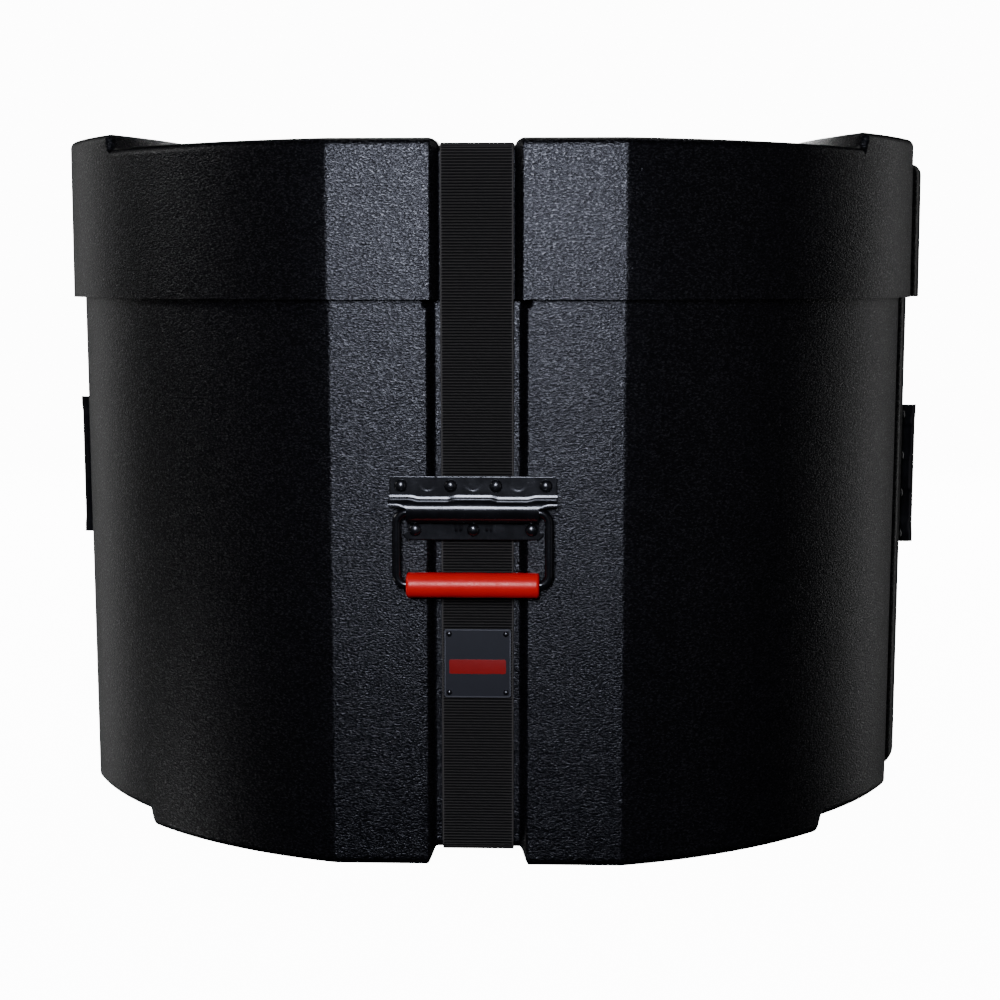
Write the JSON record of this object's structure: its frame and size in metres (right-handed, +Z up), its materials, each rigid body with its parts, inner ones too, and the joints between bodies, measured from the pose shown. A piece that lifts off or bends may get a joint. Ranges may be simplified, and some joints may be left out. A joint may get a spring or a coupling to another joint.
{
  "type": "drum case",
  "caption": "Round moulded drum case with flat sides, a telescoping lid, a webbing strap with a side-release buckle, and sprung loop handles with red grips.",
  "frame": {"origin": "on the floor under the middle of the case", "axes": "+Z up, -Y towards the front handle and the nameplate, +X to the right seen from the front"},
  "size_m": [0.7194, 0.6805, 0.5234],
  "materials": {
    "polyethylene": "pebble-grained, semi-gloss, black",
    "webbing": "ribbed black webbing",
    "painted_steel": "black powder coat, semi-gloss",
    "red_vinyl": "glossy red",
    "spring_steel": "bright wire",
    "foam": "closed-cell charcoal foam",
    "acetal": "fine-grained black",
    "plate": "satin black with a plain red bar"
  },
  "bodies": {
    "base": {"base_shell": "polyethylene", "base_foam_pad": "foam", "strap_base": "webbing", "strap_front_riser": "webbing", "strap_back_riser": "webbing", "nameplate": "plate", "nameplate_rivet_1": "painted_steel", "nameplate_rivet_2": "painted_steel", "nameplate_rivet_3": "painted_steel", "nameplate_rivet_4": "painted_steel", "front_handle_bracket": "painted_steel", "front_handle_spring": "spring_steel", "front_handle_rivet_1": "painted_steel", "front_handle_rivet_2": "painted_steel", "front_handle_rivet_3": "painted_steel", "front_handle_rivet_4": "painted_steel", "front_handle_rivet_5": "painted_steel", "front_handle_rivet_6": "painted_steel", "front_handle_rivet_7": "painted_steel", "left_handle_bracket": "painted_steel", "left_handle_spring": "spring_steel", "left_handle_rivet_1": "painted_steel", "left_handle_rivet_2": "painted_steel", "left_handle_rivet_3": "painted_steel", "left_handle_rivet_4": "painted_steel", "left_handle_rivet_5": "painted_steel", "left_handle_rivet_6": "painted_steel", "left_handle_rivet_7": "painted_steel", "right_handle_bracket": "painted_steel", "right_handle_spring": "spring_steel", "right_handle_rivet_1": "painted_steel", "right_handle_rivet_2": "painted_steel", "right_handle_rivet_3": "painted_steel", "right_handle_rivet_4": "painted_steel", "right_handle_rivet_5": "painted_steel", "right_handle_rivet_6": "painted_steel", "right_handle_rivet_7": "painted_steel"},
    "lid": {"lid_shell": "polyethylene", "lid_foam_pad": "foam", "strap_lid_front": "webbing", "strap_lid_back": "webbing", "buckle_socket": "acetal", "buckle_plug": "acetal"},
    "front_bail": {"front_handle_bail": "painted_steel", "front_handle_grip": "red_vinyl"},
    "left_bail": {"left_handle_bail": "painted_steel", "left_handle_grip": "red_vinyl"},
    "right_bail": {"right_handle_bail": "painted_steel", "right_handle_grip": "red_vinyl"},
    "lever_left": {"buckle_lever_left": "acetal"},
    "lever_right": {"buckle_lever_right": "acetal"}
  },
  "joints": [
    {"name": "lid_lift", "type": "slide", "parent": "base", "child": "lid", "axis": [0, 0, 1], "range_m": [0, 0.15], "deforming": ["strap_front_riser", "strap_back_riser"]},
    {"name": "front_handle_swing", "type": "hinge", "parent": "base", "child": "front_bail", "pos_m": [-0.0026, -0.33625, 0.25543], "axis": [-1, 0, 0], "range_deg": [0, 90], "stiffness_Nm_per_rad": 0.03, "springref_deg": -17.19},
    {"name": "left_handle_swing", "type": "hinge", "parent": "base", "child": "left_bail", "pos_m": [-0.35056, 0, 0.25743], "axis": [-0.0069, 0, 1], "range_deg": [0, 90], "stiffness_Nm_per_rad": 0.03, "springref_deg": -17.19},
    {"name": "right_handle_swing", "type": "hinge", "parent": "base", "child": "right_bail", "pos_m": [0.35052, 0, 0.25193], "axis": [-0.0069, 0, -1], "range_deg": [0, 90], "stiffness_Nm_per_rad": 0.03, "springref_deg": -17.19},
    {"name": "buckle_left_press", "type": "hinge", "parent": "lid", "child": "lever_left", "pos_m": [-0.0145, -0.01, 0.5133], "axis": [0, 0, 1], "range_deg": [0, 9], "stiffness_Nm_per_rad": 0.02},
    {"name": "buckle_right_press", "type": "hinge", "parent": "lid", "child": "lever_right", "pos_m": [0.0145, -0.01, 0.5133], "axis": [0, 0, -1], "range_deg": [0, 9], "stiffness_Nm_per_rad": 0.02}
  ]
}
